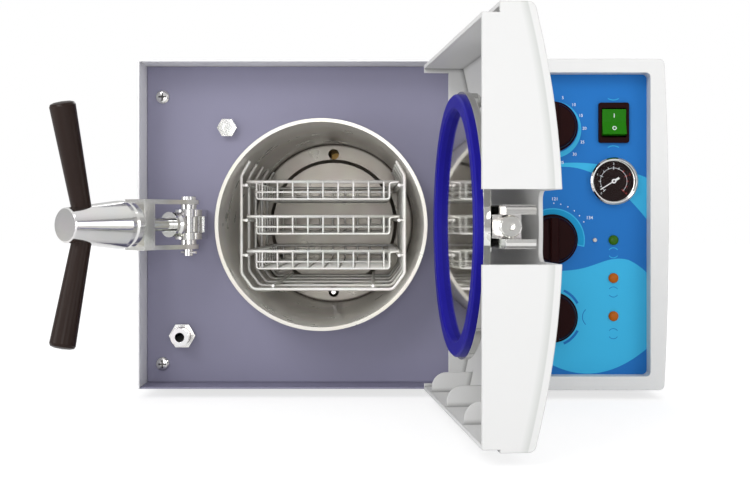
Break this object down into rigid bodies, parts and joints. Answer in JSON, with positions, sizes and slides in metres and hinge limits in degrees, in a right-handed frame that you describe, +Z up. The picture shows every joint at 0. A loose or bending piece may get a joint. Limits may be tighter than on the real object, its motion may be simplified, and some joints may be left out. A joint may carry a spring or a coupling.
{
  "type": "autoclave",
  "caption": "Tabletop steam autoclave: front-opening round chamber with wire baskets, side-hinged covered door, swing clamp and control panel.",
  "frame": {"origin": "middle of the outline at rest, door open, at the feet's soles", "axes": "+Z up, the chamber opens towards -Y, the control panel is at +X"},
  "size_m": [0.5142, 0.7244, 0.314],
  "materials": {
    "white_paint": "satin",
    "zinc_steel": "satin",
    "panel_paint": "satin",
    "black_rubber": "matte",
    "polished_steel": "polished",
    "wire_steel": "polished",
    "heater": "satin",
    "tank_steel": "satin",
    "black_plastic": "satin",
    "brass": "satin",
    "white_plastic": "satin",
    "blue_plate": "satin",
    "blue_rubber": "matte",
    "green_plastic": "gloss",
    "chrome": "polished",
    "clear_glass": "clear",
    "white_needle": "matte",
    "green_lamp": "gloss",
    "amber_lamp": "gloss",
    "grey_plastic": "satin"
  },
  "bodies": {
    "root": {"top_cover": "white_paint", "base_pan": "panel_paint", "front_panel": "panel_paint", "back_panel": "white_paint", "feet": "black_rubber", "pressure_vessel": "polished_steel", "strainer_nut": "polished_steel", "front_saddle": "zinc_steel", "rear_saddle": "zinc_steel", "heater_band": "heater", "water_tank": "tank_steel", "tank_lid": "black_plastic", "chamber_rack": "wire_steel", "upper_basket": "wire_steel", "middle_basket": "wire_steel", "lower_basket": "wire_steel", "hinge_bracket": "polished_steel", "hinge_pin": "polished_steel", "clamp_bracket": "polished_steel", "control_bezel": "white_plastic", "control_plate": "blue_plate", "timer_body": "black_plastic", "temperature_body": "black_plastic", "selector_valve": "brass", "switch_frame": "black_plastic", "gauge_case": "chrome", "gauge_glass": "clear_glass", "power_lamp": "green_lamp", "dry_lamp": "amber_lamp", "heat_lamp": "amber_lamp", "reset_body": "zinc_steel", "drain_nozzle": "polished_steel", "sensor_bolt": "polished_steel", "panel_screws": "polished_steel", "exhaust_pipe": "tank_steel", "safety_valve": "brass", "power_inlet": "black_plastic"},
    "door": {"door_plate": "polished_steel", "door_seal": "blue_rubber", "door_boss": "polished_steel", "door_arm": "polished_steel", "arm_nut": "polished_steel", "door_cover": "white_plastic", "cover_studs": "polished_steel", "edge_bolt": "polished_steel"},
    "clamp": {"clamp_screw": "polished_steel", "clamp_yoke": "polished_steel", "clamp_washers": "polished_steel", "clamp_pin": "polished_steel"},
    "handle": {"clamp_hub": "polished_steel", "upper_grip": "black_plastic", "lower_grip": "black_plastic"},
    "timer_knob": {"timer_knob": "black_plastic"},
    "temperature_knob": {"temperature_knob": "black_plastic"},
    "selector_knob": {"selector_knob": "black_plastic"},
    "rocker": {"power_rocker": "green_plastic"},
    "reset_button": {"reset_button": "grey_plastic"},
    "needle": {"gauge_needle": "white_needle"}
  },
  "joints": [
    {"name": "door_swing", "type": "hinge", "parent": "root", "child": "door", "pos_m": [0.07008, -0.1038, 0.153], "axis": [0, 0, 1], "range_deg": [-95.5, 14.5]},
    {"name": "clamp_swing", "type": "hinge", "parent": "root", "child": "clamp", "pos_m": [-0.16392, -0.0678, 0.153], "axis": [0, 0, 1], "range_deg": [-32, 37.5]},
    {"name": "handle_turn", "type": "hinge", "parent": "clamp", "child": "handle", "pos_m": [-0.16392, -0.0678, 0.153], "axis": [-0.6088, -0.7934, 0], "range_deg": [-180, 180]},
    {"name": "timer_turn", "type": "hinge", "parent": "root", "child": "timer_knob", "pos_m": [0.15708, -0.0588, 0.2395], "axis": [0, -1, 0], "range_deg": [-300, 0]},
    {"name": "temperature_turn", "type": "hinge", "parent": "root", "child": "temperature_knob", "pos_m": [0.15708, -0.0588, 0.1396], "axis": [0, -1, 0], "range_deg": [-270, 0]},
    {"name": "selector_click", "type": "hinge", "parent": "root", "child": "selector_knob", "pos_m": [0.15708, -0.0588, 0.0708], "axis": [0, -1, 0], "range_deg": [-90, 180]},
    {"name": "power_rock", "type": "hinge", "parent": "root", "child": "rocker", "pos_m": [0.21158, -0.0588, 0.2431], "axis": [1, 0, 0], "range_deg": [0, 16]},
    {"name": "reset_press", "type": "slide", "parent": "root", "child": "reset_button", "axis": [0, 1, 0], "range_m": [0, 0.0012], "stiffness_N_per_m": 200},
    {"name": "needle_swing", "type": "hinge", "parent": "root", "child": "needle", "pos_m": [0.21158, -0.0588, 0.1913], "axis": [0, 1, 0], "range_deg": [0, 255]}
  ]
}
